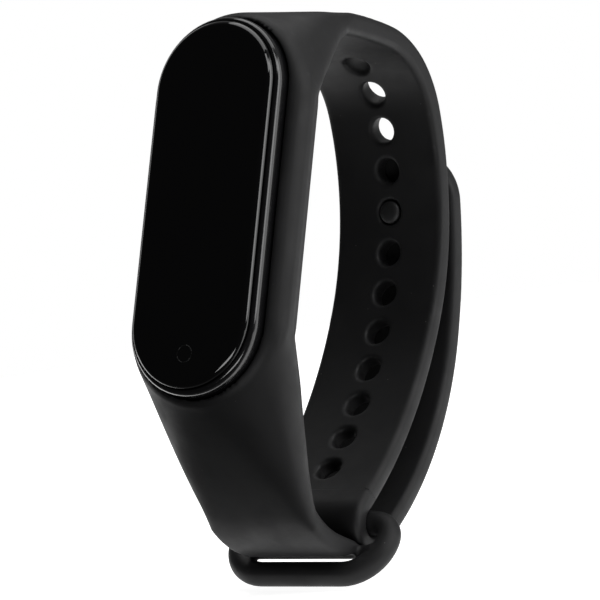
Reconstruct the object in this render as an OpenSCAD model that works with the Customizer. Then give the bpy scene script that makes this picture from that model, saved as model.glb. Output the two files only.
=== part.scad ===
// Fitness tracker band: a pill-shaped tracker pod snapped into a one-piece silicone wristband.
// The long strap goes over the wrist, through an oval ring at the end of the short strap, folds
// back over the ring's rear bar and is held by a stud in one of twelve holes.
//
// Frame: +Z up, X along the forearm, the display faces -Y and leans back. The origin is the
// middle of the wrist opening. Inside the modules everything is drawn with the pod upright:
// y runs from the display towards the wrist, z along the pod, and placed() leans it all back.

/* [Pod] */
// Length of the tracker pod
pod_length = 46.9; // [44:0.1:50]
// Width of the tracker pod
pod_width = 18.1; // [17:0.1:19.5]
// Height of the glass above the cradle's lip
glass_rise = 3.0; // [2.2:0.1:3.6]
// Thickness of the cover glass
glass_thick = 1.4; // [1.2:0.1:1.6]
// Depth of the pod behind the cradle's lip
pod_sink = 9.4; // [8.8:0.1:10]
// Wall thickness of the pod's housing
shell_wall = 0.9; // [0.7:0.1:1.1]

/* [Band] */
// Width of the strap where it is straight
strap_width = 15.8; // [14.8:0.1:15.8]
// Thickness of the strap
strap_thick = 2.4; // [2.1:0.1:2.4]
// Thickness of the silicone round the pod at the lip
cradle_wall = 2.2; // [2:0.1:2.4]
// Clearance between the pod and the cradle
pod_clearance = 0.15; // [0.1:0.05:0.2]
// Angle that the display leans back from upright
lean = 18; // [0:1:30]

/* [Clasp] */
// Diameter of the adjustment holes
hole_d = 3.2; // [3.2:0.1:3.4]
// Distance from one hole to the next along the strap
hole_pitch = 5.4; // [5.35:0.05:5.45]
// Diameter of the stud's head
stud_d = 2.9; // [2.6:0.1:2.9]
// Diameter of the ring's bars
ring_bar = 3.0; // [2.8:0.1:3]
// Outside width of the ring
ring_width = 24.5; // [24.4:0.1:25]

/* [Vibration motor] */
// Diameter of the coin motor
motor_d = 8; // [7:0.5:8]
// Height of the coin motor
motor_h = 2.7; // [2.5:0.1:2.8]

/* [Hidden] */
$fn = 64;

half_w = pod_width / 2;
half_l = (pod_length - pod_width) / 2;
half_t = strap_thick / 2;
cradle_r = half_w + cradle_wall;
// The silicone is thinner at the round ends of the pod.
cradle_l = half_l - 0.6;
wrist_y = 24.5;
wrist_z = -3.4;

// Upper strap: start of its middle surface [y, z, heading], then [radius, turn] of each bend.
top_start = [8.77, 24.91, 16.5];
root_w = 17.6;
top_legs = [[60.25, -14], [12.85, -61.6], [37.85, -39.7], [55.55, -31]];
// The fold round the ring's rear bar, the tail's bulge and its flatter end.
fold_r = ring_bar / 2 + 0.1 + half_t;
tail_legs = [[fold_r, 172.2], [39.06, 47.6], [62.2, 22.15]];
tip_round = 6.4;
// Distance along the strap to the hole that the stud is in, and the holes on each side of it.
stud_run = 41.27;
holes_above = 4;
holes_below = 7;
// Space between the tail and the strap under it, at the stud.
tail_gap = 0.33;
// Length of the flexible stretch that the tail bends at when it is peeled off.
web_length = 4;

// Lower strap: a leg whose radius is 0 is straight, with its length in place of the turn.
low_start = [10.44, -29.16, -45];
low_root_w = 16.6;
low_legs = [[0, 5.15], [13.7, 42], [0, 4.35]];

// Ring: the middles of its rear and front bars are this far apart, at this slope. Its corners
// bend tightly at the rear bar and widely at the front bar, which the short strap clears.
bar_gap = 7.7;
ring_slope = 64.3;
rear_bend = 2.7;
front_bend = 4.9;
mouth_r = 0.85;
mouth_gap = 0.7;
fold_gap = 0.3;

// Pod interior, as heights above (+) and below (-) the cradle's lip.
glass_base = glass_rise - glass_thick;
seam = -2.6;
stud_shank_d = 2.4;
button_d = 5.6;
groove_depth = 0.35;
board_l = 33;
board_w = 12.4;
board_top = -5.2;
board_thick = 0.8;
sensor_d = 7;
pad_x = 2.6;
pad_y = -13.6;
pad_d = 2;
motor_y = -17.2;
motor_floor = -4.1;
motor_wall = 0.25;
motor_axle_d = 0.8;

// End point [y, z, heading] of a leg that starts at s.
function leg_end(s, leg) =
    leg[0] == 0
        ? [s[0] + leg[1] * cos(s[2]), s[1] + leg[1] * sin(s[2]), s[2]]
        : let (k = sign(leg[1]), c = leg_centre(s, leg), h = s[2] + leg[1])
          [c[0] + leg[0] * k * sin(h), c[1] - leg[0] * k * cos(h), h];
function leg_centre(s, leg) =
    [s[0] - leg[0] * sign(leg[1]) * sin(s[2]), s[1] + leg[0] * sign(leg[1]) * cos(s[2])];
function leg_length(leg) = leg[0] == 0 ? leg[1] : leg[0] * abs(leg[1]) * PI / 180;
// The part of a leg between two distances from its start.
function cut_leg(leg, run) = leg[0] == 0 ? [0, run] : [leg[0], leg[1] * run / leg_length(leg)];
// Start of leg number n of a path, and the point at a distance along it.
function start_of(s, legs, n, i = 0) =
    i == n ? s : start_of(leg_end(s, legs[i]), legs, n, i + 1);
function at(s, legs, run, i = 0) =
    run <= leg_length(legs[i]) || i == len(legs) - 1
        ? leg_end(s, cut_leg(legs[i], run))
        : at(leg_end(s, legs[i]), legs, run - leg_length(legs[i]), i + 1);

tail_start = start_of(top_start, top_legs, 4);
rear_bar = leg_centre(tail_start, tail_legs[0]);
front_bar = [rear_bar[0] - bar_gap * cos(ring_slope), rear_bar[1] - bar_gap * sin(ring_slope)];
stud_at = at(top_start, top_legs, stud_run);
tail_run = leg_length(tail_legs[1]);
web_start = at(tail_start, tail_legs, leg_length(tail_legs[0]) + tail_run - web_length);

// Outline that is the same on both sides, from its right half.
function both_sides(half) =
    concat(half, [for (i = [len(half) - 1 : -1 : 0]) [-half[i][0], half[i][1]]]);

// Leans everything back and puts the middle of the wrist opening at the origin.
module placed() {
    rotate([-lean, 0, 0]) translate([0, -wrist_y, -wrist_z]) children();
}

// Turns a shape drawn with the pod lying face up into its upright place.
module on_pod() {
    placed() rotate([90, 0, 0]) children();
}

// Strap section with broken corners, t thick and w wide, its inner face at x = from.
module strap_section(from, t, w) {
    c = t * 0.28;
    translate([from, -w / 2])
        polygon([[c, 0], [t - c, 0], [t, c], [t, w - c], [t - c, w], [c, w], [0, w - c], [0, c]]);
}

// One leg of strap, straight or bent about an axis along X.
module strap_leg(s, leg, w, t) {
    if (leg[0] == 0) {
        // A hair longer at each end, so that it joins its neighbours.
        translate([0, s[0], s[1]]) rotate([s[2], 0, 0]) rotate([90, 0, 90]) rotate([0, 90, 0])
            rotate([0, 0, 90]) translate([0, 0, -0.01])
            linear_extrude(leg[1] + 0.02) strap_section(-t / 2, t, w);
    } else {
        first = s[2] - 90 * sign(leg[1]);
        c = leg_centre(s, leg);
        translate([0, c[0], c[1]]) rotate([90, 0, 90]) rotate([0, 0, min(first, first + leg[1])])
            rotate_extrude(angle = abs(leg[1]), $fn = 180) strap_section(leg[0] - t / 2, t, w);
    }
}

// Strap holes, drilled square through the strap at each pitch.
module hole_row() {
    for (i = [-holes_above : holes_below]) {
        p = at(top_start, top_legs, stud_run + i * hole_pitch);
        translate([0, p[0], p[1]]) rotate([p[2], 0, 0])
            cylinder(d = hole_d, h = 3 * strap_thick, center = true);
    }
}

// Sweeps a profile drawn as [distance from the middle line, height] round the pod's pill outline.
module pill(l) {
    for (turn = [0, 180]) {
        rotate([0, 0, turn]) {
            translate([0, l, 0]) rotate_extrude(angle = 180) children();
            translate([0, l, 0]) rotate([90, 0, 0]) linear_extrude(2 * l) children();
        }
    }
}

// Solid pill, r is its end radius.
module pill_block(l, r, h) {
    linear_extrude(h) {
        square([2 * r, 2 * l], center = true);
        for (y = [-l, l]) {
            translate([0, y]) circle(r);
        }
    }
}

// Outline of the pod's housing from its middle line outwards, grown by g.
module pod_profile(g, top) {
    polygon([[0, top], [half_w + g, top], [half_w + g, -2.6], [8.75 + g, -3.8], [7.75 + g, -5.2],
             [6.9 + g, -6.6], [6.2 + g, -8.2], [5.3 + g, -pod_sink], [0, -pod_sink]]);
}

// Wedge of silicone from the round end of the cradle to the root of a strap.
module root_wedge(side, s, w) {
    hull() {
        translate([0, 1, side * cradle_l]) rotate([90, 0, 0])
            cylinder(r = cradle_r - 0.02, h = 1.2, center = true, $fn = 48);
        translate([0, 2.9, side * cradle_l]) rotate([90, 0, 0])
            cylinder(r = cradle_r - 0.2, h = 0.4, center = true, $fn = 48);
        translate([0, 6, side * cradle_l]) rotate([90, 0, 0])
            cylinder(r = 9.2, h = 1.4, center = true, $fn = 48);
        for (edge = [-1, 1]) {
            translate([edge * (w / 2 - half_t), s[0], s[1]]) rotate([s[2] + 90, 0, 0])
                translate([0, 0, 0.03]) cylinder(r = half_t, h = 0.1, $fn = 24);
        }
    }
}

// Corner of the ring and half of the bar beside it; y is -1 at the front bar, 1 at the rear bar.
module ring_quarter(x, y, bend) {
    corner_x = ring_width / 2 - ring_bar / 2 - bend;
    mid_y = y * (bar_gap / 2 - bend);
    translate([x * corner_x, mid_y, 0]) rotate([0, 0, atan2(y, x) - 45])
        rotate_extrude(angle = 90) translate([bend, 0]) circle(ring_bar / 2, $fn = 40);
    translate([0, mid_y + y * bend, 0]) rotate([0, x * 90, 0])
        cylinder(d = ring_bar, h = corner_x, $fn = 40);
}

// Rounded rectangle of round bar.
module ring_solid() {
    mid = (rear_bar + front_bar) / 2;
    side_from = front_bend - bar_gap / 2;
    side_l = bar_gap - front_bend - rear_bend;
    translate([0, mid[0], mid[1]]) rotate([ring_slope, 0, 0]) {
        for (x = [-1, 1]) {
            ring_quarter(x, 1, rear_bend);
            ring_quarter(x, -1, front_bend);
            translate([x * (ring_width / 2 - ring_bar / 2), side_from, 0]) rotate([-90, 0, 0])
                cylinder(d = ring_bar, h = side_l, $fn = 40);
        }
    }
}

module cradle() {
    color("#26282b") placed() difference() {
        union() {
            rotate([90, 0, 0]) pill(cradle_l)
                polygon([[0, -7.6], [8.4, -7.5], [9.9, -5.3], [cradle_r - 0.15, -2.9],
                         [cradle_r, -1.6], [cradle_r, -0.4], [cradle_r - 0.4, 0.3], [0, 0.3]]);
            root_wedge(1, top_start, root_w);
            root_wedge(-1, low_start, low_root_w);
        }
        rotate([90, 0, 0]) pill(half_l) pod_profile(pod_clearance, 4);
        rotate([90, 0, 0]) translate([0, 0, -pod_sink - 6])
            pill_block(half_l, 5.3 + pod_clearance, 6.5);
    }
}

// Bead inside the cradle's lip that snaps into the groove round the pod.
module retaining_lip() {
    inner = half_w - groove_depth + 0.1;
    color("#26282b") on_pod() pill(half_l)
        polygon([[inner, -0.9], [half_w + pod_clearance, -1.3], [half_w + pod_clearance, -0.2],
                 [inner, -0.5]]);
}

module top_strap() {
    color("#2a2c2f") placed() intersection() {
        strap_leg(top_start, top_legs[0], root_w, strap_thick);
        translate([0, 0, 20]) linear_extrude(12)
            polygon(both_sides([[root_w / 2, 7], [root_w / 2, 8.8], [8.35, 12.5], [8, 16.5],
                                [strap_width / 2, 20.5], [strap_width / 2, 24]]));
    }
}

// Leg number n of the upper strap, with its holes.
module holed_leg(n) {
    color("#2a2c2f") placed() difference() {
        strap_leg(start_of(top_start, top_legs, n), top_legs[n], strap_width, strap_thick);
        hole_row();
    }
}

module crown_strap() {
    holed_leg(1);
}

module back_strap() {
    holed_leg(2);
}

module lower_back_strap() {
    holed_leg(3);
}

module fold_strap() {
    color("#2a2c2f") placed()
        strap_leg(tail_start, tail_legs[0], strap_width, strap_thick);
}

// The tail up to the flexible stretch.
module tail_strap() {
    color("#2a2c2f") placed()
        strap_leg(start_of(tail_start, tail_legs, 1),
                  cut_leg(tail_legs[1], tail_run - web_length), strap_width, strap_thick);
}

// The stretch that bends when the tail is peeled off the strap.
module tail_web() {
    color("#2a2c2f") placed()
        strap_leg(web_start, cut_leg(tail_legs[1], web_length), strap_width, strap_thick);
}

// Outline of the tip seen square on, with its round end at y = 0.
module tip_outline() {
    reach = 30;
    corner_x = strap_width / 2 - tip_round;
    translate([-strap_width / 2, -reach]) square([strap_width, reach - tip_round]);
    translate([-corner_x, -reach]) square([2 * corner_x, reach]);
    for (side = [-1, 1]) {
        translate([side * corner_x, -tip_round]) circle(tip_round);
    }
}

module tail_tip() {
    tip_start = start_of(tail_start, tail_legs, 2);
    tip_end = leg_end(tip_start, tail_legs[2]);
    color("#2a2c2f") placed() difference() {
        intersection() {
            strap_leg(tip_start, tail_legs[2], strap_width, strap_thick);
            translate([0, tip_end[0], tip_end[1]]) rotate([tip_end[2], 0, 0])
                linear_extrude(16, center = true) tip_outline();
        }
        stud_bore();
    }
}

// Puts a shape on the stud's axis, with its own z = 0 on the strap's middle surface.
module on_stud() {
    translate([0, stud_at[0], stud_at[1]]) rotate([stud_at[2], 0, 0]) children();
}

// Stepped hole through the tail that the stud is pressed into.
module stud_bore() {
    on_stud() {
        cylinder(d = stud_shank_d, h = 3 * strap_thick);
        translate([0, 0, half_t + tail_gap + strap_thick - 0.8])
            cylinder(d = button_d, h = strap_thick);
    }
}

module clasp_stud() {
    outer = half_t + tail_gap + strap_thick;
    color("#1c1d1f") placed() on_stud() {
        translate([0, 0, outer - 0.8]) cylinder(d = button_d, h = 0.65);
        translate([0, 0, -half_t]) cylinder(d = stud_shank_d, h = outer + half_t - 0.8);
        translate([0, 0, -half_t - 0.2]) cylinder(d = stud_d, h = 0.9);
    }
}

module short_strap() {
    mouth = start_of(low_start, low_legs, 3);
    color("#2a2c2f") placed() difference() {
        union() {
            intersection() {
                for (i = [0 : 2]) {
                    strap_leg(start_of(low_start, low_legs, i), low_legs[i],
                              low_root_w, strap_thick);
                }
                translate([0, 0, -42]) linear_extrude(20)
                    polygon(both_sides([[low_root_w / 2, 8], [8, 15], [7.9, 21], [7.9, 31]]));
            }
            translate([0, mouth[0], mouth[1]]) rotate([0, 90, 0])
                cylinder(r = mouth_r, h = ring_width - 5.4, center = true, $fn = 32);
        }
        ring_solid();
        translate([0, front_bar[0], front_bar[1]]) rotate([0, 90, 0])
            cylinder(d = ring_bar + 2 * mouth_gap, h = 17, center = true);
        translate([0, rear_bar[0], rear_bar[1]]) rotate([0, 90, 0])
            cylinder(r = fold_r + half_t + fold_gap, h = 17, center = true);
    }
}

module clasp_ring() {
    color("#202123") placed() ring_solid();
}

module cover_glass() {
    color("#050506") on_pod() pill(half_l)
        polygon([[0, glass_base], [half_w - 0.02, glass_base], [half_w - 0.05, glass_base + 0.35],
                 [half_w - 0.4, glass_base + 0.85], [half_w - 1.1, glass_base + 1.2],
                 [half_w - 2.2, glass_rise - 0.04], [half_w - 3.2, glass_rise], [0, glass_rise]]);
}

module touch_film() {
    color("#2c3138") on_pod() translate([0, 0, glass_base - 0.15])
        pill_block(half_l, half_w - 1.5, 0.15);
}

module display_panel() {
    color("#101318") on_pod() translate([-6.3, -9.6, glass_base - 1.15]) cube([12.6, 26.5, 1]);
}

module display_flex() {
    color("#b5762a") on_pod() {
        translate([-3, -11.8, -0.1]) cube([6, 2.2, 0.12]);
        translate([-3, -12, board_top]) cube([6, 0.2, -0.1 - board_top + 0.12]);
    }
}

// Upper half of the housing: the wall under the glass, with the groove that the lip holds.
module mid_frame() {
    color("#141517") on_pod() pill(half_l)
        polygon([[half_w - shell_wall - 0.3, seam], [half_w, seam], [half_w, -1.3],
                 [half_w - groove_depth, -1.1], [half_w - groove_depth, -0.3], [half_w, -0.1],
                 [half_w, glass_base - 0.3], [half_w - shell_wall, glass_base - 0.3],
                 [half_w - shell_wall - 0.3, -1.5]]);
}

// Adhesive ring between the housing and the glass.
module seal_ring() {
    color("#303236") on_pod() translate([0, 0, glass_base - 0.3]) difference() {
        pill_block(half_l, half_w - 0.1, 0.3);
        translate([0, 0, -0.1]) pill_block(half_l, half_w - shell_wall - 0.1, 0.5);
    }
}

module back_cover() {
    color("#17181a") on_pod() difference() {
        pill(half_l) pod_profile(0, seam);
        pill(half_l)
            polygon([[0, seam + 1], [half_w - shell_wall - 0.3, seam + 1],
                     [half_w - shell_wall - 0.3, -3.4], [6.8, -5.2], [5.9, -6.6], [5.3, -8.1],
                     [4.6, -pod_sink + shell_wall], [0, -pod_sink + shell_wall]]);
        translate([0, 0, -pod_sink - 1]) cylinder(d = sensor_d, h = 3);
        for (side = [-1, 1]) {
            translate([side * pad_x, pad_y, -pod_sink - 1]) cylinder(d = pad_d, h = 3);
        }
    }
}

module sensor_lens() {
    color("#0a0b0d") on_pod() translate([0, 0, -pod_sink - 0.25])
        cylinder(d = sensor_d - 0.04, h = 1.14);
}

// Wall that keeps the lamps' light from going straight to the light sensor.
module light_shield() {
    color("#1b1c1e") on_pod() translate([0, 0, -pod_sink + shell_wall]) difference() {
        cylinder(d = sensor_d - 0.4, h = 1.5);
        for (x = [-2.2, 0, 2.2]) {
            translate([x - 0.85, -1.1, -0.5]) cube([1.7, 2.2, 2.5]);
        }
    }
}

module sensor_chip(x, tint) {
    color(tint) on_pod() translate([x - 0.7, -0.9, -pod_sink + shell_wall + 0.5])
        cube([1.4, 1.8, 1]);
}

module led_left() {
    sensor_chip(-2.2, "#3fae5a");
}

module led_right() {
    sensor_chip(2.2, "#3fae5a");
}

module photodiode() {
    sensor_chip(0, "#3a3d44");
}

module charge_pad(side) {
    color("#c9a24a") on_pod() translate([side * pad_x, pad_y, -pod_sink - 0.05])
        cylinder(d = pad_d, h = 0.95);
}

module charge_pad_left() {
    charge_pad(-1);
}

module charge_pad_right() {
    charge_pad(1);
}

module main_board() {
    color("#1f5a3a") on_pod() translate([0, 0, board_top - board_thick]) difference() {
        pill_block(board_l / 2 - board_w / 2, board_w / 2 - 0.3, board_thick);
        // Notch for the lower end of the battery.
        translate([0, -board_l / 2, -0.1]) cylinder(d = 3, h = 1);
    }
}

module shield_can() {
    color("#a9adb2") on_pod() translate([-4, 1, board_top - board_thick - 0.9])
        cube([8, 9, 0.9]);
}

module motion_chip() {
    color("#25272b") on_pod() translate([-1.25, -8.5, board_top - board_thick - 0.8])
        cube([2.5, 2.5, 0.8]);
}

module battery() {
    color("#8f9499") on_pod() translate([-5.75, -9.9, -4.7]) cube([11.5, 26.4, 4.2]);
}

module battery_tab() {
    color("#c8b04a") on_pod() translate([-2.5, 16.5, board_top]) cube([5, 0.3, 3]);
}

module antenna() {
    color("#c58a45") on_pod() translate([0, half_l, -1.2]) difference() {
        cylinder(r = half_w - shell_wall - 0.45, h = 0.4);
        translate([0, 0, -0.1]) cylinder(r = half_w - shell_wall - 1.65, h = 0.6);
        translate([-20, -20, -0.1]) cube([40, 20, 0.6]);
    }
}

module motor_case() {
    color("#b9bcc0") on_pod() translate([0, motor_y, motor_floor]) difference() {
        cylinder(d = motor_d, h = motor_h);
        translate([0, 0, motor_wall]) cylinder(d = motor_d - 2 * motor_wall, h = motor_h - 2 * motor_wall);
    }
}

module motor_shaft() {
    color("#d5d7da") on_pod() translate([0, motor_y, motor_floor + motor_wall])
        cylinder(d = motor_axle_d, h = motor_h - 2 * motor_wall, $fn = 32);
}

module motor_weight() {
    inner_r = motor_d / 2 - motor_wall - 0.3;
    color("#7c7f84") on_pod() translate([0, motor_y, motor_floor + motor_wall + 0.4]) difference() {
        union() {
            cylinder(r = 1.2, h = 1.3, $fn = 48);
            rotate_extrude(angle = 180) square([inner_r, 1.3]);
        }
        translate([0, 0, -0.5]) cylinder(d = motor_axle_d + 0.1, h = 3, $fn = 32);
    }
}

cradle();
retaining_lip();
top_strap();
crown_strap();
back_strap();
lower_back_strap();
fold_strap();
tail_strap();
tail_web();
tail_tip();
clasp_stud();
short_strap();
clasp_ring();
cover_glass();
touch_film();
display_panel();
display_flex();
mid_frame();
seal_ring();
back_cover();
sensor_lens();
light_shield();
led_left();
led_right();
photodiode();
charge_pad_left();
charge_pad_right();
main_board();
shield_can();
motion_chip();
battery();
battery_tab();
antenna();
motor_case();
motor_shaft();
motor_weight();
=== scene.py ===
"""Looks of the fitness tracker band: silicone wristband, ring and stud, glossy tracker pod.

Shapes are drawn in millimetres with the pod upright (x across, y from the display towards the
wrist, z along the pod), and place() leans them back into the frame's metres, as the CAD does.
"""

import math

import bmesh
import bpy
from mathutils import Matrix, Vector


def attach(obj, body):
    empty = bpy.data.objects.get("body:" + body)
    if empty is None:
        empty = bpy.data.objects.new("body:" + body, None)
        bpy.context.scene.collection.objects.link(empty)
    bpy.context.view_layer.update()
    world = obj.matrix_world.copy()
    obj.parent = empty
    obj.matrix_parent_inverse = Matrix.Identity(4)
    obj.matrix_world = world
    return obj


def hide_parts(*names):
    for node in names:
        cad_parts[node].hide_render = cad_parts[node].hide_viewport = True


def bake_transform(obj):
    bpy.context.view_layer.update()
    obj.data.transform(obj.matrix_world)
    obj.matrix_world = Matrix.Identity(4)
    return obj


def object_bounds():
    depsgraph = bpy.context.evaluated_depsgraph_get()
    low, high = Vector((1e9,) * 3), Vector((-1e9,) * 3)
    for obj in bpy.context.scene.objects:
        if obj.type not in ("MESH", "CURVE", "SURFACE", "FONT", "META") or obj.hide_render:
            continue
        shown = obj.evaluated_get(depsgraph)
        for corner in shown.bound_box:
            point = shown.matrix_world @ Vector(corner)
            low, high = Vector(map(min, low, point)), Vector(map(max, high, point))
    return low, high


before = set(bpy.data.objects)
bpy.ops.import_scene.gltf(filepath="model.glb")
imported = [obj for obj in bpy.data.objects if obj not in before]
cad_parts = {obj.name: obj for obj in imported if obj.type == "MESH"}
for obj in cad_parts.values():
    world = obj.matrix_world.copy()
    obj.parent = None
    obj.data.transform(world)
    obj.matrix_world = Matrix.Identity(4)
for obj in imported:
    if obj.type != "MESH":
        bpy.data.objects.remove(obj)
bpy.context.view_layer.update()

# ---------------------------------------------------------------- dimensions, in millimetres
LEAN = math.radians(18)
WRIST_Y, WRIST_Z = 24.5, -3.4
POD_LENGTH, POD_WIDTH = 46.9, 18.1
HALF_W = POD_WIDTH / 2
HALF_L = (POD_LENGTH - POD_WIDTH) / 2
GLASS_RISE, GLASS_BASE, POD_SINK = 3.0, 1.6, 9.4
SEAM = -2.6
STRAP_W, STRAP_T, LOW_W = 15.8, 2.4, 15.6
STRAP_EDGE = 0.75                         # rounding of the straps' long edges
ROOT_LAP = 0.6                            # how far the straps reach back into the cradle
TOP_TAPER, LOW_TAPER = 11.5, 7            # run over which a strap narrows from its root
CROWN_MORE, CROWN_END, CROWN_FADE = 0.5, 36, 14
CRADLE_R, CRADLE_L = HALF_W + 2.2, HALF_L - 0.6
CLEARANCE = 0.15
HOLE_D, HOLE_PITCH, HOLES_ABOVE, HOLES_BELOW = 3.2, 5.4, 4, 7
STUD_RUN, STUD_D, BUTTON_D, TAIL_GAP = 41.27, 2.9, 5.6, 0.33
RING_BAR, RING_WIDTH, BAR_GAP, RING_SLOPE = 3.0, 24.5, 7.7, 64.3
REAR_BEND, FRONT_BEND, FRONT_MORE = 2.7, 4.9, 0.06
MOUTH_R, MOUTH_GAP, FOLD_GAP = 0.85, 0.95, 0.3
WEB_LENGTH = 4.0
SENSOR_D, PAD_D, PAD_X, PAD_Z = 7.0, 2.0, 2.6, -13.6
KEY_Z = -18.6

BAR_SIDES = 28                            # sides of a round bar
BAND_VOXEL, TAIL_VOXEL = 0.22, 0.2        # grid on which the silicone skins are made
ROUNDS, FLOW_ROUNDS = 5, 260              # smoothing of a whole skin, and of the strap roots

# Paths of the strap's middle surface: a start (y, z, heading) and legs of (radius, turn).
# A leg whose radius is 0 is straight, with its length in place of the turn.
STRAIGHT = (0, 1)
TOP_START, TOP_ROOT_W = (8.77, 24.91, 16.5), 17.6
TOP_LEGS = [(60.25, -14), (12.85, -61.6), (37.85, -39.7), (55.55, -31)]
FOLD_R = RING_BAR / 2 + 0.1 + STRAP_T / 2
TAIL_LEGS = [(FOLD_R, 172.2), (39.06, 47.6), (62.2, 22.15)]
TIP_ROUND = 6.4
LOW_START, LOW_ROOT_W = (10.44, -29.16, -45.0), 16.6
LOW_LEGS = [(0, 5.15), (13.7, 42), (0, 4.35)]


def place(x, y, z):
    """A point of the upright drawing, in the frame's metres."""
    y, z = y - WRIST_Y, z - WRIST_Z
    leaned = (x, y * math.cos(LEAN) + z * math.sin(LEAN), -y * math.sin(LEAN) + z * math.cos(LEAN))
    return Vector(leaned) / 1000


# ---------------------------------------------------------------- paths
def leg_length(leg):
    """How long a leg of a path is."""
    radius, turn = leg
    return turn if radius == 0 else radius * math.radians(abs(turn))


def along(start, leg, run):
    """Point (y, z, heading) at a distance from the start of a leg."""
    y, z, heading = start
    radius, turn = leg
    h = math.radians(heading)
    if radius == 0:
        return (y + run * math.cos(h), z + run * math.sin(h), heading)
    side = math.copysign(1, turn)
    new = h + side * run / radius
    cy, cz = y - radius * side * math.sin(h), z + radius * side * math.cos(h)
    return (cy + radius * side * math.sin(new), cz - radius * side * math.cos(new),
            math.degrees(new))


def walk(start, legs, run):
    """Point (y, z, heading) at a distance along a path; it goes straight on past the end."""
    for leg in legs:
        length = leg_length(leg)
        if run <= length:
            return along(start, leg, run)
        start = along(start, leg, length)
        run -= length
    return along(start, STRAIGHT, run)


def path_length(legs):
    """How long a whole path is."""
    return sum(leg_length(leg) for leg in legs)


def offset(point, out):
    """The point moved square to the path, away from the wrist for a positive distance."""
    y, z, heading = point
    h = math.radians(heading)
    return (y - math.sin(h) * out, z + math.cos(h) * out)


# ---------------------------------------------------------------- mesh tools
def to_object(name, bm, mesh):
    """A scene object that holds the edited mesh."""
    bm.to_mesh(mesh)
    bm.free()
    obj = bpy.data.objects.new(name, mesh)
    bpy.context.scene.collection.objects.link(obj)
    return obj


def solid(name, points, faces):
    """A mesh object from points of the upright drawing, still in millimetres."""
    mesh = bpy.data.meshes.new(name)
    mesh.from_pydata([tuple(p) for p in points], [], faces)
    bm = bmesh.new()
    bm.from_mesh(mesh)
    bmesh.ops.remove_doubles(bm, verts=bm.verts, dist=1e-4)
    bmesh.ops.recalc_face_normals(bm, faces=bm.faces)
    return to_object(name, bm, mesh)


def hull(name, points):
    """The smallest convex solid round the points."""
    bm = bmesh.new()
    for p in points:
        bm.verts.new(p)
    bmesh.ops.convex_hull(bm, input=bm.verts)
    loose = [v for v in bm.verts if not v.link_faces]
    bmesh.ops.delete(bm, geom=loose, context="VERTS")
    return to_object(name, bm, bpy.data.meshes.new(name))


def sweep_faces(rows, stops, around, closed):
    """Quads between each of the first rows of points and the next.

    There are stops rows in all, each of around points, and a closed row joins up with itself.
    """
    faces = []
    for i in range(rows):
        a, b = i * around, ((i + 1) % stops) * around
        for j in range(around if closed else around - 1):
            k = (j + 1) % around
            faces.append((a + j, a + k, b + k, b + j))
    return faces


def tube_faces(rings, around, closed):
    """Quads between rings of the same number of points, with end caps on an open tube."""
    faces = sweep_faces(rings if closed else rings - 1, rings, around, True)
    if not closed:
        faces.append(tuple(range(around)))
        faces.append(tuple(range((rings - 1) * around, rings * around)))
    return faces


def bake(obj):
    """Applies the object's modifiers."""
    graph = bpy.context.evaluated_depsgraph_get()
    mesh = bpy.data.meshes.new_from_object(obj.evaluated_get(graph))
    obj.modifiers.clear()
    old = obj.data
    obj.data = mesh
    bpy.data.meshes.remove(old)


def combine(obj, others, operation):
    """Boolean of obj with each of the others, which are used up."""
    for other in others:
        modifier = obj.modifiers.new("combine", "BOOLEAN")
        modifier.operation = operation
        modifier.object = other
        modifier.solver = "MANIFOLD"
    bake(obj)
    for other in others:
        bpy.data.objects.remove(other)


def melt(obj, voxel, rounds, flowing=None, flow_rounds=0):
    """Turns the shape into one even skin and rounds its edges a little.

    Where flowing(point) is above 0 the skin is evened out much more.
    """
    remesh = obj.modifiers.new("skin", "REMESH")
    remesh.mode = "VOXEL"
    remesh.voxel_size = voxel
    smooth = obj.modifiers.new("round", "SMOOTH")
    smooth.factor = 0.5
    smooth.iterations = rounds
    bake(obj)
    if flowing:
        group = obj.vertex_groups.new(name="flowing")
        for vertex in obj.data.vertices:
            amount = flowing(vertex.co)
            if amount > 0:
                group.add([vertex.index], amount, "REPLACE")
        flow = obj.modifiers.new("flow", "SMOOTH")
        flow.factor = 0.5
        flow.iterations = flow_rounds
        flow.vertex_group = group.name
        bake(obj)
        obj.vertex_groups.clear()


def lean_back(obj):
    """Moves the mesh from the upright drawing into the frame, and shades it smooth."""
    for vertex in obj.data.vertices:
        vertex.co = place(*vertex.co)
    obj.data.shade_smooth()
    obj.data.update()


def strap_section(width, more, steps=6):
    """Outline (x, out) of a strap with round edges, thicker by more on its outer face."""
    outline = []
    for cx, cy, first in ((1, 1, 0), (-1, 1, 90), (-1, -1, 180), (1, -1, 270)):
        for i in range(steps + 1):
            a = math.radians(first + 90 * i / steps)
            x = cx * (width / 2 - STRAP_EDGE) + STRAP_EDGE * math.cos(a)
            out = cy * (STRAP_T / 2 - STRAP_EDGE) + STRAP_EDGE * math.sin(a)
            outline.append((x, out + more if out > 0 else out))
    return outline


def ribbon(name, start, legs, first, last, width_at, more_at=None, step=0.5):
    """Strap along a path between two distances.

    width_at gives its width at a distance, and more_at what is added on its outer face.
    """
    count = max(2, round((last - first) / step) + 1)
    points = []
    for i in range(count):
        run = first + (last - first) * i / (count - 1)
        spot = walk(start, legs, run)
        section = strap_section(width_at(run), more_at(run) if more_at else 0)
        for x, out in section:
            points.append((x, *offset(spot, out)))
    return solid(name, points, tube_faces(count, len(section), False))


def pill_stops(half_l, steps=36, straight=24):
    """Stops round a pill outline: (z of the middle line, unit outward x and z)."""
    stops = []
    for end, first in ((1, 0), (-1, 180)):
        for i in range(steps + 1):
            a = math.radians(first + 180 * i / steps)
            stops.append((end * half_l, math.cos(a), math.sin(a)))
        for i in range(1, straight):
            stops.append((end * half_l * (1 - 2 * i / straight), -end, 0.0))
    return stops


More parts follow.
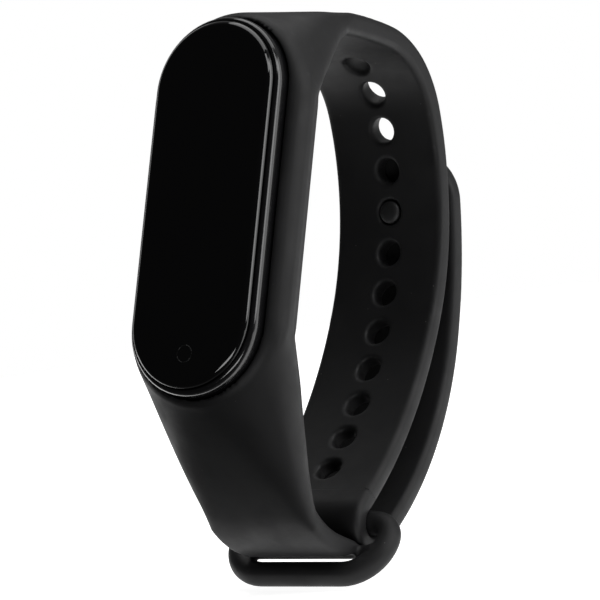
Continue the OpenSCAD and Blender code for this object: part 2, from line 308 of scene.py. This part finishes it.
def pill(name, profile, closed, half_l=HALF_L):
    """Sweeps a profile of (distance from the middle line, height above the lip) round the pod.

    A closed profile makes a ring; an open one starts and ends on the middle line.
    """
    stops = pill_stops(half_l)
    points = []
    for mid, out_x, out_z in stops:
        for r, height in profile:
            points.append((r * out_x, -height, mid + r * out_z))
    return solid(name, points, sweep_faces(len(stops), len(stops), len(profile), closed))


def curve_through(points, steps=6):
    """Smooth outline through the given points (Catmull-Rom), ends kept."""
    out = []
    padded = [points[0], *points, points[-1]]
    for a, b, c, d in zip(padded, padded[1:], padded[2:], padded[3:]):
        for i in range(steps):
            t = i / steps
            out.append(tuple(
                0.5 * (2 * q + (r - p) * t + (2 * p - 5 * q + 4 * r - s) * t * t
                       + (3 * q - p - 3 * r + s) * t ** 3)
                for p, q, r, s in zip(a, b, c, d)))
    return [*out, points[-1]]


def turned(name, profile, spot, heading, across=0.0, steps=64):
    """Turned shape: profile of (radius, height) about an axis square to the path at a spot."""
    h = math.radians(heading)
    points = []
    for i in range(steps):
        a = 2 * math.pi * i / steps
        for r, height in profile:
            side = r * math.sin(a)
            points.append((across + r * math.cos(a),
                           spot[0] + side * math.cos(h) - height * math.sin(h),
                           spot[1] + side * math.sin(h) + height * math.cos(h)))
    return solid(name, points, sweep_faces(steps, steps, len(profile), False))


# ---------------------------------------------------------------- the band
# Outlines of (distance from the middle line, height above the lip).
POD_BACK_R = 5.3
POD_SIDE = [(HALF_W, SEAM), (8.75, -3.8), (7.75, -5.2), (6.9, -6.6), (6.2, -8.2),
            (POD_BACK_R, -POD_SINK)]
CRADLE_OUTLINE = [(0, 0), (9.0, 0.1), (9.3, 0.32), (9.65, 0.3), (10.15, 0.05), (10.6, -0.35),
                  (10.95, -0.9), (CRADLE_R, -1.8), (11.15, -2.9), (10.6, -4.2), (9.9, -5.3),
                  (9.2, -6.5), (8.4, -7.5), (0, -7.6)]
# The cradle's edge again, a little inside it, as (distance, depth), and where the wedges end.
WEDGE_EDGE = [(CRADLE_R - 0.12, 2.9), (CRADLE_R - 0.02, 1.8), (10.92, 0.95), (10.55, 0.42),
              (10.1, 0)]
WEDGE_FOOT_R, WEDGE_DEEP, WEDGE_SHALLOW = 9.2, 6.0, 2.9


def top_width(run):
    """The upper strap narrows away from the cradle."""
    return STRAP_W + (TOP_ROOT_W - STRAP_W) * max(0, 1 - run / TOP_TAPER) ** 1.3


def crown_more(run):
    """The upper strap is thicker as far as the crown."""
    return CROWN_MORE * max(0, min(1, (CROWN_END - run) / CROWN_FADE))


def low_width(run):
    """The short strap narrows away from the cradle."""
    return LOW_W + (LOW_ROOT_W - LOW_W) * max(0, 1 - run / LOW_TAPER)


def root_wedge(name, side, start, legs, width_at, runs, more, deep, steps=48):
    """Silicone between the round end of the cradle and a strap, up to the furthest of runs."""
    points = []
    for i in range(steps + 1):
        a = math.radians(180 * i / steps)
        for r, depth in (*WEDGE_EDGE, (WEDGE_FOOT_R, deep)):
            points.append((r * math.cos(a), depth, side * (CRADLE_L + r * math.sin(a))))
    for run in runs:
        spot = walk(start, legs, run)
        for x, out in strap_section(width_at(run), more):
            points.append((x, *offset(spot, out)))
    return hull(name, points)


def pod_cutter():
    """Room for the pod, open in front of it and behind it."""
    front, back = 6, -POD_SINK - 5
    outline = [(0, front), (HALF_W + CLEARANCE, front)]
    outline += [(r + CLEARANCE, h) for r, h in POD_SIDE]
    outline += [(POD_BACK_R + CLEARANCE, back), (0, back)]
    return pill("pod_cutter", outline, False)


def hole_cutters():
    """Cutters for the adjustment holes, flared where they meet the strap's faces."""
    r, half = HOLE_D / 2, STRAP_T / 2
    profile = [(0, -half - 1), (r + 0.32, -half - 1), (r + 0.3, -half - 0.1),
               (r + 0.08, -half + 0.2), (r, -half + 0.45), (r, half - 0.45),
               (r + 0.08, half - 0.2), (r + 0.3, half + 0.1), (r + 0.32, half + 1),
               (0, half + 1)]
    cutters = []
    for i in range(-HOLES_ABOVE, HOLES_BELOW + 1):
        y, z, heading = walk(TOP_START, TOP_LEGS, STUD_RUN + i * HOLE_PITCH)
        cutters.append(turned("hole_cutter", profile, (y, z), heading))
    return cutters


TAIL_START = walk(TOP_START, TOP_LEGS, path_length(TOP_LEGS))
REAR_BAR = offset(TAIL_START, FOLD_R)
FRONT_BAR = (REAR_BAR[0] - BAR_GAP * math.cos(math.radians(RING_SLOPE)),
             REAR_BAR[1] - BAR_GAP * math.sin(math.radians(RING_SLOPE)))


def ring_solid(name, steps=14):
    """Ring of round bar, a rounded rectangle; its front bar is a little thicker."""
    mid_y = (REAR_BAR[0] + FRONT_BAR[0]) / 2
    mid_z = (REAR_BAR[1] + FRONT_BAR[1]) / 2
    slope = math.radians(RING_SLOPE)
    stops = []
    for side_x, side_s, first, bend in ((1, -1, -90, FRONT_BEND), (1, 1, 0, REAR_BEND),
                                        (-1, 1, 90, REAR_BEND), (-1, -1, 180, FRONT_BEND)):
        mid_x = side_x * (RING_WIDTH / 2 - RING_BAR / 2 - bend)
        mid_s = side_s * (BAR_GAP / 2 - bend)
        for i in range(steps + 1):
            a = math.radians(first + 90 * i / steps)
            stops.append((mid_x, mid_s, bend, math.cos(a), math.sin(a)))
    points = []
    for mid_x, mid_s, bend, cx, cs in stops:
        bar_r = RING_BAR / 2 + FRONT_MORE * max(0, -cs)
        for j in range(BAR_SIDES):
            b = 2 * math.pi * j / BAR_SIDES
            reach = bend + bar_r * math.cos(b)
            lift = bar_r * math.sin(b)
            s = mid_s + reach * cs
            points.append((mid_x + reach * cx,
                           mid_y + s * math.cos(slope) - lift * math.sin(slope),
                           mid_z + s * math.sin(slope) + lift * math.cos(slope)))
    return solid(name, points, tube_faces(len(stops), BAR_SIDES, True))


def rod(name, spot, stations):
    """Round bar along x through a spot, with a radius at each station (x, radius)."""
    points = []
    for x, r in stations:
        for j in range(BAR_SIDES):
            b = 2 * math.pi * j / BAR_SIDES
            points.append((x, spot[0] + r * math.cos(b), spot[1] + r * math.sin(b)))
    return solid(name, points, tube_faces(len(stations), BAR_SIDES, False))


def short_ribbon():
    """Short strap down to its mouth, hollowed to clear the ring's front bar and the fold."""
    length = path_length(LOW_LEGS)
    strap = ribbon("low_ribbon", LOW_START, LOW_LEGS, -ROOT_LAP, length, low_width)
    reach = 9
    bar_r = RING_BAR / 2 + MOUTH_GAP
    fold_r = FOLD_R + STRAP_T / 2 + FOLD_GAP
    combine(strap, [rod("bar_room", FRONT_BAR, [(-reach, bar_r), (reach, bar_r)]),
                    rod("fold_room", REAR_BAR, [(-reach, fold_r), (reach, fold_r)])],
            "DIFFERENCE")
    y, z, _ = walk(LOW_START, LOW_LEGS, length)
    half = RING_WIDTH / 2 - RING_BAR / 2
    stations = [(half - 1, 1.25), (half - 1.6, 1.1), (half - 2.2, 0.92), (half - 2.9, MOUTH_R)]
    stations = [(-x, r) for x, r in stations] + stations[::-1]
    combine(strap, [rod("mouth", (y, z), stations)], "UNION")
    return strap


def end_cutter(name, spot, reach):
    """Block just beyond a spot on the path, a little larger than the strap's section."""
    points = []
    for t in (0, reach):
        for x in (-STRAP_W, STRAP_W):
            for out in (-STRAP_T, STRAP_T):
                points.append((x, *offset(along(spot, STRAIGHT, t), out * 0.6)))
    return hull(name, points)


BAND_END = path_length(TOP_LEGS) - 1.8  # run at which the tail's skin takes over
SPARE = 1.2                             # more length, cut off square after the smoothing


def root_flow(point):
    """1 in the middle of the two root wedges, fading out towards the pod and the straps."""
    _, y, z = point
    above = z - HALF_L if z > 0 else -z - HALF_L
    away = math.hypot(point.x, max(0, above)) - HALF_W
    strap = (y - 9.6) / 2.5 if z > 0 else (y - 12.5) / 3
    if above < 2 or away < 1.2:
        return 0
    return max(0, min(1, (above - 2) / 4, (away - 1.2) / 1.5, 1.5 - strap))


def band_skin():
    """Cradle, both straps and the ring: one moulding. It ends just above the fold."""
    band = pill("band_skin", CRADLE_OUTLINE, False, CRADLE_L)
    parts = [
        root_wedge("top_root", 1, TOP_START, TOP_LEGS, top_width, (0, 0.8), CROWN_MORE,
                   WEDGE_DEEP),
        root_wedge("top_web", 1, TOP_START, TOP_LEGS, top_width, (0, 2, 4), CROWN_MORE,
                   WEDGE_SHALLOW),
        root_wedge("low_root", -1, LOW_START, LOW_LEGS, low_width, (0, 2, 4, 6, 8), 0,
                   WEDGE_DEEP),
        ribbon("top_ribbon", TOP_START, TOP_LEGS, -ROOT_LAP, BAND_END + SPARE, top_width,
               crown_more),
        short_ribbon(),
        ring_solid("ring"),
    ]
    combine(band, parts, "UNION")
    combine(band, [pod_cutter(), *hole_cutters()], "DIFFERENCE")
    melt(band, BAND_VOXEL, ROUNDS, root_flow, FLOW_ROUNDS)
    end = walk(TOP_START, TOP_LEGS, BAND_END)
    combine(band, [end_cutter("end_cutter", end, SPARE + 0.3)], "DIFFERENCE")
    lean_back(band)
    return band


def tail_skin():
    """Fold round the ring's rear bar and the tail, up to its rounded tip."""
    lead = path_length(TOP_LEGS) - BAND_END
    start = walk(TOP_START, TOP_LEGS, BAND_END - SPARE)
    last_r = TOP_LEGS[-1][0]
    legs = [(last_r, -math.degrees((lead + SPARE) / last_r)), *TAIL_LEGS]
    total = path_length(legs)

    def width(run):
        left = min(TIP_ROUND, total - run)
        inset = TIP_ROUND - math.sqrt(TIP_ROUND ** 2 - (TIP_ROUND - left) ** 2)
        return STRAP_W - 2 * inset * 0.95

    tail = ribbon("tail_skin", start, legs, 0, total, width, step=0.3)
    y, z, heading = walk(TOP_START, TOP_LEGS, STUD_RUN)
    outer = STRAP_T / 2 + TAIL_GAP + STRAP_T
    bore = [(0, STRAP_T / 2 - 0.5), (1.2, STRAP_T / 2 - 0.5), (1.2, outer - 0.8),
            (BUTTON_D / 2 + 0.1, outer - 0.8), (BUTTON_D / 2 + 0.12, outer + 2), (0, outer + 2)]
    combine(tail, [turned("bore", bore, (y, z), heading)], "DIFFERENCE")
    melt(tail, TAIL_VOXEL, ROUNDS)
    spot = walk(TOP_START, TOP_LEGS, BAND_END)
    cutter = end_cutter("start_cutter", along(spot, STRAIGHT, -2 * SPARE), 2 * SPARE)
    combine(tail, [cutter], "DIFFERENCE")
    lean_back(tail)
    return tail


def clasp_stud():
    """Stud with a low domed head and a dished button."""
    y, z, heading = walk(TOP_START, TOP_LEGS, STUD_RUN)
    outer = STRAP_T / 2 + TAIL_GAP + STRAP_T - 0.15
    head_r, head = STUD_D / 2, -STRAP_T / 2
    button_r = BUTTON_D / 2
    profile = [(0, head - 0.2), (0.8, head - 0.19), (1.15, head - 0.12), (1.38, head + 0.03),
               (head_r, head + 0.2), (head_r, head + 0.5), (1.32, head + 0.66),
               (1.2, head + 0.7), (1.19, outer - 0.65), (button_r - 0.1, outer - 0.65),
               (button_r, outer - 0.55), (button_r, outer - 0.15), (button_r - 0.07, outer - 0.04),
               (button_r - 0.2, outer), (button_r - 0.6, outer - 0.03), (1.2, outer - 0.16),
               (0, outer - 0.2)]
    stud = turned("stud", profile, (y, z), heading)
    lean_back(stud)
    return stud


# ---------------------------------------------------------------- the pod's skin
GLASS_R = HALF_W - 0.72


def cover_glass():
    """Glass with a rolled edge, set into the housing's rim."""
    roll = 0.78
    profile = [(0, GLASS_BASE), (GLASS_R - 0.15, GLASS_BASE), (GLASS_R, GLASS_BASE + 0.12)]
    for i in range(17):
        a = math.radians(90 * i / 16)
        profile.append((GLASS_R - roll * (1 - math.cos(a)), GLASS_RISE - roll * (1 - math.sin(a))))
    profile += [(6, GLASS_RISE), (4, GLASS_RISE), (2, GLASS_RISE), (0, GLASS_RISE)]
    glass = pill("glass", profile, False)
    lean_back(glass)
    return glass


def housing():
    """Side wall of the pod, with a rounded rim round the glass."""
    rim = [(GLASS_R + 0.04, 2.0), (GLASS_R + 0.08, 2.09), (GLASS_R + 0.16, 2.13)]
    shoulder = HALF_W - GLASS_R - 0.2
    for i in range(1, 13):
        a = math.radians(90 - 90 * i / 12)
        rim.append((HALF_W - shoulder * (1 - math.cos(a)), 1.3 + 0.82 * math.sin(a)))
    profile = [(HALF_W - 1.1, 1.2), (GLASS_R - 0.1, 1.55), (GLASS_R + 0.04, 1.6), *rim,
               (HALF_W, 0.6), (HALF_W, -0.05), (HALF_W - 0.35, -0.3), (HALF_W - 0.35, -1.1),
               (HALF_W, -1.35), (HALF_W, SEAM + 0.02), (HALF_W - 1.1, SEAM + 0.02)]
    wall = pill("housing", profile, True)
    lean_back(wall)
    return wall


BACK = -90.0  # heading at which a turned shape's height runs towards the wrist


def back_shell():
    """Back of the pod with a round sensor window and two charging pads let in."""
    side = curve_through([(4.9, -POD_SINK), (5.7, -9.0), (6.3, -8.0), (6.95, -6.6),
                          (7.85, -5.2), (8.75, -3.8), (HALF_W, -2.9)])
    rim = [(HALF_W, SEAM - 0.12), (HALF_W - 0.08, SEAM - 0.04), (HALF_W - 1.2, SEAM - 0.04)]
    inner = [(HALF_W - 1.2, -3.4), (6.8, -5.2), (5.9, -6.6), (5.3, -8.1),
             (4.6, -POD_SINK + 0.9), (0, -POD_SINK + 0.9)]
    shell = pill("back_shell", [(0, -POD_SINK), (2.5, -POD_SINK), *side, *rim, *inner], False)
    wells = [well(SENSOR_D / 2 + 0.03, 0, 0)]
    wells += [well(PAD_D / 2 + 0.03, edge * PAD_X, PAD_Z) for edge in (-1, 1)]
    combine(shell, wells, "DIFFERENCE")
    lean_back(shell)
    return shell


def well(radius, across, z):
    """Cutter for a round opening through the pod's back, with a broken edge."""
    profile = [(0, -1.2), (radius, -1.2), (radius, -0.12), (radius + 0.12, 0), (radius + 0.2, 1),
               (0, 1)]
    return turned("well", profile, (POD_SINK, z), BACK, across)


def sensor_window():
    """Low domed window over the lamps and the light sensor."""
    r = SENSOR_D / 2
    profile = [(0, -0.9), (r, -0.9), (r, 0.02), (r - 0.08, 0.12), (r - 0.3, 0.19),
               (r - 1, 0.225), (0, 0.245)]
    window = turned("sensor_window", profile, (POD_SINK, 0), BACK)
    lean_back(window)
    return window


def charge_pad(edge):
    """Round contact with a shallow dish."""
    r = PAD_D / 2
    profile = [(0, -0.9), (r, -0.9), (r, -0.02), (r - 0.06, 0.04), (r - 0.2, 0.05),
               (r - 0.35, 0.02), (0, 0.0)]
    pad = turned("charge_pad", profile, (POD_SINK, PAD_Z), BACK, edge * PAD_X)
    lean_back(pad)
    return pad


def touch_key():
    """Thin ring printed under the glass, over the touch key."""
    profile = [(1.0, -0.01), (1.0, 0.006), (1.08, 0.006), (1.08, -0.01)]
    mark = turned("touch_key", [*profile, profile[0]], (-GLASS_RISE, KEY_Z), -BACK)
    lean_back(mark)
    return mark


# ---------------------------------------------------------------- materials
class Nodes:
    """Short-hand for building a node material."""

    def __init__(self, name):
        self.material = bpy.data.materials.new(name)
        self.material.use_nodes = True
        self.tree = self.material.node_tree
        self.shader = self.tree.nodes["Principled BSDF"]
        self.where = self.tree.nodes.new("ShaderNodeTexCoord").outputs["Object"]

    def set(self, **values):
        for key, value in values.items():
            self.shader.inputs[key.replace("_", " ")].default_value = value

    def link(self, output, key):
        self.tree.links.new(output, self.shader.inputs[key])

    def noise(self, per_metre, detail=4.0, rough=0.55, squash=(1, 1, 1)):
        mapping = self.tree.nodes.new("ShaderNodeMapping")
        mapping.inputs["Scale"].default_value = squash
        self.tree.links.new(self.where, mapping.inputs["Vector"])
        node = self.tree.nodes.new("ShaderNodeTexNoise")
        node.inputs["Scale"].default_value = per_metre
        node.inputs["Detail"].default_value = detail
        node.inputs["Roughness"].default_value = rough
        self.tree.links.new(mapping.outputs["Vector"], node.inputs["Vector"])
        return node.outputs["Fac"]

    def spread(self, value, low, high, start=0.35, stop=0.65):
        """Stretches a value from start..stop to low..high."""
        node = self.tree.nodes.new("ShaderNodeMapRange")
        for key, number in (("From Min", start), ("From Max", stop), ("To Min", low),
                            ("To Max", high)):
            node.inputs[key].default_value = number
        self.tree.links.new(value, node.inputs["Value"])
        return node.outputs["Result"]

    def mix(self, factor, a, b):
        node = self.tree.nodes.new("ShaderNodeMix")
        node.data_type = "RGBA"
        for index, colour in ((6, a), (7, b)):
            if isinstance(colour, tuple):
                node.inputs[index].default_value = (*colour, 1)
            else:
                self.tree.links.new(colour, node.inputs[index])
        self.tree.links.new(factor, node.inputs[0])
        return node.outputs[2]

    def add(self, a, b):
        node = self.tree.nodes.new("ShaderNodeMath")
        node.operation = "ADD"
        self.tree.links.new(a, node.inputs[0])
        self.tree.links.new(b, node.inputs[1])
        return node.outputs[0]

    def specks(self, per_metre, size):
        """1 on small scattered specks, 0 elsewhere."""
        node = self.tree.nodes.new("ShaderNodeTexVoronoi")
        node.inputs["Scale"].default_value = per_metre
        self.tree.links.new(self.where, node.inputs["Vector"])
        return self.spread(node.outputs["Distance"], 1, 0, size * 0.6, size)

    def edges(self, start, stop):
        """1 along convex edges, 0 on flat stretches."""
        node = self.tree.nodes.new("ShaderNodeNewGeometry")
        return self.spread(node.outputs["Pointiness"], 0, 1, start, stop)

    def bump(self, height, strength, depth):
        node = self.tree.nodes.new("ShaderNodeBump")
        node.inputs["Strength"].default_value = strength
        node.inputs["Distance"].default_value = depth
        self.tree.links.new(height, node.inputs["Height"])
        self.link(node.outputs["Normal"], "Normal")


def silicone(name, dark, light, rough):
    """Matt moulded silicone: fine skin, faint handling marks and a few specks of dust."""
    m = Nodes(name)
    m.set(Specular_IOR_Level=0.24, Sheen_Weight=0.012, Sheen_Roughness=0.5,
          Sheen_Tint=(0.8, 0.8, 0.82, 1))
    cloudy = m.mix(m.spread(m.noise(90, 5), 0, 1), dark, light)
    worn = m.mix(m.edges(0.53, 0.6), cloudy, tuple(1.35 * c for c in light))
    dusty = m.mix(m.specks(420, 0.035), worn, (0.09, 0.088, 0.085))
    m.link(dusty, "Base Color")
    m.link(m.spread(m.noise(260, 6), rough - 0.06, rough + 0.07), "Roughness")
    m.bump(m.add(m.noise(6500, 3), m.noise(1500, 2)), 0.22, 0.00003)
    return m.material


def black_glass():
    """Polished glass printed black behind, with faint finger smears."""
    m = Nodes("cover_glass")
    m.set(IOR=1.5, Coat_Weight=0.25, Coat_Roughness=0.02)
    m.link(m.mix(m.noise(60, 3), (0.0016, 0.0016, 0.0018), (0.0024, 0.0024, 0.0027)), "Base Color")
    m.link(m.spread(m.noise(110, 6, 0.6, (1, 1, 0.45)), 0.015, 0.05), "Roughness")
    m.bump(m.noise(45, 2), 0.02, 0.00001)
    return m.material


def moulded(name, dark, light, rough, grain=3500, depth=0.00001, **sockets):
    """Moulded plastic or coated part, with a fine grain and cloudy gloss."""
    m = Nodes(name)
    m.set(**sockets)
    m.link(m.mix(m.spread(m.noise(120, 5), 0, 1), dark, light), "Base Color")
    m.link(m.spread(m.noise(400, 5), max(0.02, rough - 0.05), rough + 0.07), "Roughness")
    m.bump(m.noise(grain, 3), 0.2, depth)
    return m.material


def metal(name, dark, light, rough, grain=(1, 1, 1)):
    """Metal with drawn or plated grain and slight tarnish."""
    m = Nodes(name)
    m.set(Metallic=1.0)
    m.link(m.mix(m.spread(m.noise(300, 6), 0, 1), dark, light), "Base Color")
    m.link(m.spread(m.noise(2500, 4, 0.6, grain), rough - 0.06, rough + 0.1), "Roughness")
    m.bump(m.noise(5000, 3, 0.6, grain), 0.15, 0.000008)
    return m.material


def circuit_board():
    """Green solder mask with fine copper tracks showing through."""
    m = Nodes("board")
    m.set(Coat_Weight=0.4, Coat_Roughness=0.15)
    brick = m.tree.nodes.new("ShaderNodeTexBrick")
    brick.inputs["Scale"].default_value = 260
    brick.inputs["Mortar Size"].default_value = 0.06
    m.tree.links.new(m.where, brick.inputs["Vector"])
    tracks = m.mix(brick.outputs["Fac"], (0.008, 0.07, 0.03), (0.03, 0.16, 0.06))
    m.link(tracks, "Base Color")
    m.link(m.spread(m.noise(500, 4), 0.25, 0.4), "Roughness")
    m.bump(brick.outputs["Fac"], 0.3, 0.00003)
    return m.material


def assign(obj, material):
    """Gives the object one material in place of any others."""
    obj.data.materials.clear()
    obj.data.materials.append(material)


def fit(obj, body, slot, material, *nodes):
    """Finishes a new piece: its material, hides the nodes it stands for, and attaches it to its
    body; slot is not used.
    """
    assign(obj, material)
    if nodes:
        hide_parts(*nodes)
    if body:
        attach(obj, body)


# ---------------------------------------------------------------- pieces
band_silicone = silicone("silicone", (0.0075, 0.0075, 0.0079), (0.0105, 0.0105, 0.011), 0.52)
housing_plastic = moulded("housing", (0.004, 0.004, 0.0045), (0.007, 0.007, 0.0075), 0.12,
                          Coat_Weight=0.3, Coat_Roughness=0.05)
back_plastic = moulded("back", (0.008, 0.008, 0.0085), (0.013, 0.013, 0.014), 0.35)
window_plastic = moulded("window", (0.002, 0.002, 0.003), (0.004, 0.004, 0.005), 0.06)
stud_plastic = moulded("stud", (0.006, 0.006, 0.0063), (0.009, 0.009, 0.0095), 0.5)
gold = metal("gold_plate", (0.55, 0.36, 0.12), (0.78, 0.56, 0.24), 0.22)

fit(band_skin(), "band", "silicone", band_silicone, "cradle", "retaining_lip", "top_strap",
    "crown_strap", "back_strap", "lower_back_strap", "short_strap", "clasp_ring")

tail = tail_skin()
fit(tail, None, "silicone", band_silicone, "fold_strap", "tail_strap", "tail_web", "tail_tip")
bend_start = path_length(TAIL_LEGS[:2]) - WEB_LENGTH
place(0, *walk(TAIL_START, TAIL_LEGS, bend_start)[:2])
place(0, *walk(TAIL_START, TAIL_LEGS, bend_start + WEB_LENGTH)[:2])
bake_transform(tail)

fit(clasp_stud(), "tail", "stud_plastic", stud_plastic, "clasp_stud")
fit(cover_glass(), "pod", "cover_glass", black_glass(), "cover_glass")
fit(housing(), "pod", "housing", housing_plastic, "mid_frame")
fit(back_shell(), "pod", "housing", back_plastic, "back_cover")
fit(sensor_window(), "pod", "lens", window_plastic, "sensor_lens")
fit(charge_pad(-1), "pod", "gold", gold, "charge_pad_left")
fit(charge_pad(1), "pod", "gold", gold, "charge_pad_right")
fit(touch_key(), "pod", "cover_glass",
    moulded("key_ink", (0.005, 0.005, 0.005), (0.008, 0.008, 0.008), 0.2))

INSIDE = {
    "touch_film": moulded("film", (0.02, 0.023, 0.03), (0.03, 0.034, 0.042), 0.08),
    "display_panel": moulded("display", (0.004, 0.005, 0.007), (0.008, 0.009, 0.013), 0.1),
    "display_flex": moulded("polyimide", (0.32, 0.13, 0.02), (0.45, 0.2, 0.04), 0.3),
    "seal_ring": moulded("seal", (0.03, 0.03, 0.032), (0.045, 0.045, 0.05), 0.5),
    "light_shield": moulded("shield", (0.01, 0.01, 0.011), (0.02, 0.02, 0.021), 0.6),
    "led_left": moulded("lamp", (0.03, 0.3, 0.07), (0.08, 0.5, 0.16), 0.15),
    "photodiode": moulded("sensor", (0.04, 0.043, 0.055), (0.07, 0.075, 0.09), 0.12),
    "main_board": circuit_board(),
    "shield_can": metal("tin", (0.5, 0.51, 0.53), (0.68, 0.69, 0.7), 0.3),
    "motion_chip": moulded("chip", (0.012, 0.012, 0.013), (0.025, 0.025, 0.028), 0.55),
    "battery": metal("cell", (0.42, 0.43, 0.45), (0.55, 0.56, 0.58), 0.36),
    "battery_tab": metal("nickel", (0.5, 0.48, 0.4), (0.64, 0.61, 0.52), 0.28),
    "antenna": metal("copper", (0.55, 0.24, 0.12), (0.75, 0.4, 0.24), 0.25),
    "motor_case": metal("steel", (0.5, 0.51, 0.52), (0.66, 0.67, 0.68), 0.26, (1, 1, 8)),
    "motor_weight": metal("tungsten", (0.16, 0.165, 0.175), (0.27, 0.28, 0.3), 0.45),
}
INSIDE["led_right"] = INSIDE["led_left"]
INSIDE["motor_shaft"] = INSIDE["motor_case"]
for node, material in INSIDE.items():
    assign(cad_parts[node], material)


# ---------------------------------------------------------------- floor, light and camera
FLOOR_SIZE, FLOOR_MIDDLE = 0.6, 0.28  # it ends below the pod, so that the glass doesn't mirror it


def stage_floor():
    """Plain pale floor just under the band."""
    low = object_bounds()[0][2] - 0.0005
    bpy.ops.mesh.primitive_plane_add(size=FLOOR_SIZE, location=(0, FLOOR_MIDDLE, low))
    floor = bpy.context.object
    floor.name = "floor"
    m = Nodes("floor")
    m.set(Roughness=0.9, Specular_IOR_Level=0.1, Emission_Color=(1, 1, 1, 1),
          Emission_Strength=0.9)
    m.link(m.mix(m.noise(3, 2), (0.8, 0.8, 0.8), (0.82, 0.82, 0.82)), "Base Color")
    assign(floor, m.material)


def studio_light(name, azimuth, elevation, distance, width, height, watts):
    """Soft box that faces the band, from an azimuth where 0 is in front and 90 on the right."""
    a, e = math.radians(azimuth), math.radians(elevation)
    data = bpy.data.lights.new(name, "AREA")
    data.shape = "RECTANGLE"
    data.size, data.size_y = width, height
    data.energy = watts
    light = bpy.data.objects.new(name, data)
    light.location = distance * Vector((math.sin(a) * math.cos(e), -math.cos(a) * math.cos(e),
                                        math.sin(e)))
    light.rotation_euler = (-light.location).to_track_quat("-Z", "Y").to_euler()
    bpy.context.scene.collection.objects.link(light)


def surround():
    """White to look at; as a light it is bright behind the band and dark in front of it."""
    world = bpy.data.worlds.new("surround")
    world.use_nodes = True
    bpy.context.scene.world = world
    tree = world.node_tree
    tree.nodes.clear()
    out = tree.nodes.new("ShaderNodeOutputWorld")
    seen = tree.nodes.new("ShaderNodeBackground")
    seen.inputs["Color"].default_value = (1, 1, 1, 1)
    lit = tree.nodes.new("ShaderNodeBackground")
    where = tree.nodes.new("ShaderNodeTexCoord")
    split = tree.nodes.new("ShaderNodeSeparateXYZ")
    tree.links.new(where.outputs["Generated"], split.inputs[0])
    ramp = tree.nodes.new("ShaderNodeMapRange")
    ramp.interpolation_type = "SMOOTHSTEP"
    for key, number in (("From Min", -0.35), ("From Max", 0.55), ("To Min", 0.03),
                        ("To Max", 0.2)):
        ramp.inputs[key].default_value = number
    tree.links.new(split.outputs["Y"], ramp.inputs["Value"])
    tree.links.new(ramp.outputs["Result"], lit.inputs["Strength"])
    ray = tree.nodes.new("ShaderNodeLightPath")
    mix = tree.nodes.new("ShaderNodeMixShader")
    tree.links.new(ray.outputs["Is Camera Ray"], mix.inputs[0])
    tree.links.new(lit.outputs[0], mix.inputs[1])
    tree.links.new(seen.outputs[0], mix.inputs[2])
    tree.links.new(mix.outputs[0], out.inputs["Surface"])


VIEW_TURN, VIEW_RISE, VIEW_ROLL = 35.6, -13.0, 5.9  # against the upright pod, in degrees
VIEW_DISTANCE = 520.0
VIEW_BASE = Vector((0, 1.0, -0.4))                  # the point that the camera circles
AIM_RIGHT, AIM_DOWN = 9.835, 10.437                 # the picture's middle, from that point
LENS, SENSOR = 259.2, 36.0


def camera():
    """Long lens from the right of the pod, square to the middle of the picture."""
    turn, rise, roll = (math.radians(v) for v in (VIEW_TURN, VIEW_RISE, VIEW_ROLL))
    out = Vector((math.sin(turn) * math.cos(rise), -math.cos(turn) * math.cos(rise),
                  math.sin(rise)))
    level = Vector((math.cos(turn), math.sin(turn), 0))
    upright = out.cross(level)
    right = math.cos(roll) * level + math.sin(roll) * upright
    up = math.cos(roll) * upright - math.sin(roll) * level
    aim = place(*(VIEW_BASE + AIM_RIGHT * right - AIM_DOWN * up))
    spot = place(*(VIEW_BASE + VIEW_DISTANCE * out))
    origin = place(0, 0, 0)
    back = (spot - aim).normalized()
    across = (place(*up) - origin).cross(back).normalized()
    data = bpy.data.cameras.new("camera")
    data.lens, data.sensor_width = LENS, SENSOR
    data.clip_start, data.clip_end = 0.01, 20
    cam = bpy.data.objects.new("camera", data)
    axes = Matrix((across, back.cross(across), back)).transposed()
    cam.matrix_world = Matrix.Translation(spot) @ axes.to_4x4()
    bpy.context.scene.collection.objects.link(cam)
    bpy.context.scene.camera = cam


# Name, azimuth and elevation in degrees, distance, width and height in metres, watts.
LIGHTS = [("rear_right", 120, 12, 0.9, 0.5, 0.9, 2.4), ("right", 92, 28, 0.8, 0.35, 0.6, 2.5),
          ("high_right", 62, 50, 0.8, 0.3, 0.3, 1.0), ("low_front", 27, -24, 0.35, 0.22, 0.11, 0.35),
          ("top", 175, 78, 0.8, 0.8, 0.8, 3.6), ("left_rear", -120, 10, 0.9, 0.4, 0.9, 0.6)]

stage_floor()
surround()
for settings in LIGHTS:
    studio_light(*settings)
camera()
bpy.context.scene.view_settings.view_transform = "Standard"
